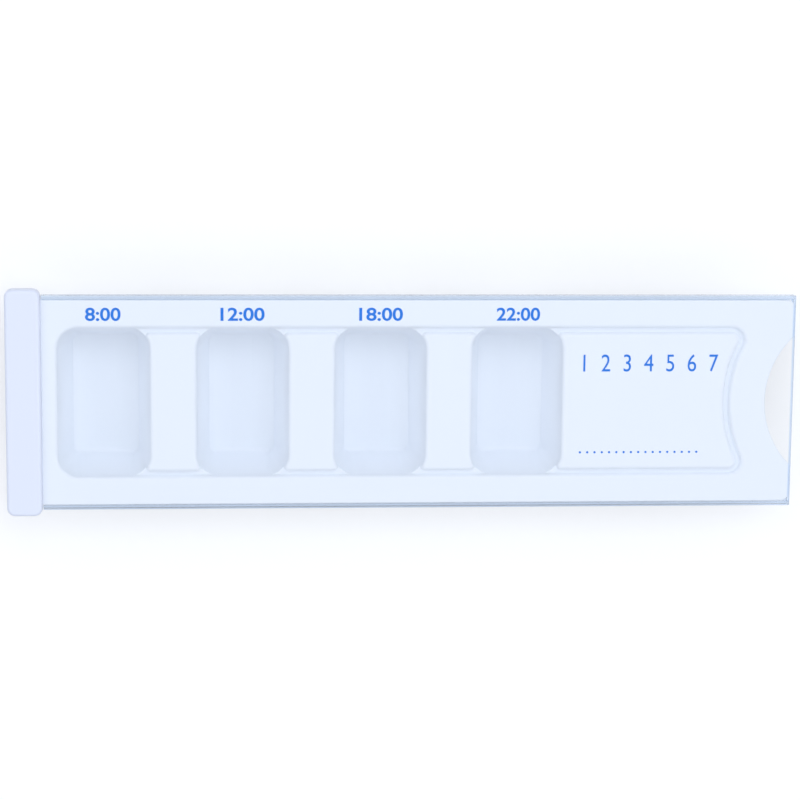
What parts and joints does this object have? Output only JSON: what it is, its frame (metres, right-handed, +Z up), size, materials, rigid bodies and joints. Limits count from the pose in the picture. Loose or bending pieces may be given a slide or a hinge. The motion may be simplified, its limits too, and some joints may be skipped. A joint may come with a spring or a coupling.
{
  "type": "pill organizer",
  "caption": "White moulded daily pill tray with scooped compartments in a row, a name plate, a thumb notch and an end grip bar, closed by a clear lid that slides along its edges.",
  "frame": {"origin": "middle of the organizer's outline, at the level of the surface it stands on", "axes": "+X along the row of compartments, from the grip bar to the thumb notch, +Y across the tray, +Z up"},
  "size_m": [0.19, 0.0546, 0.0193],
  "materials": {
    "white_plastic": "satin white polystyrene, smooth from the mould",
    "clear_plastic": "clear glossy polystyrene, thin enough to see the tray through"
  },
  "bodies": {
    "tray": {"tray": "white_plastic"},
    "lid": {"clear_lid": "clear_plastic"}
  },
  "joints": [
    {"name": "lid_slide", "type": "slide", "parent": "tray", "child": "lid", "axis": [1, 0, 0], "range_m": [0, 0.186]}
  ]
}
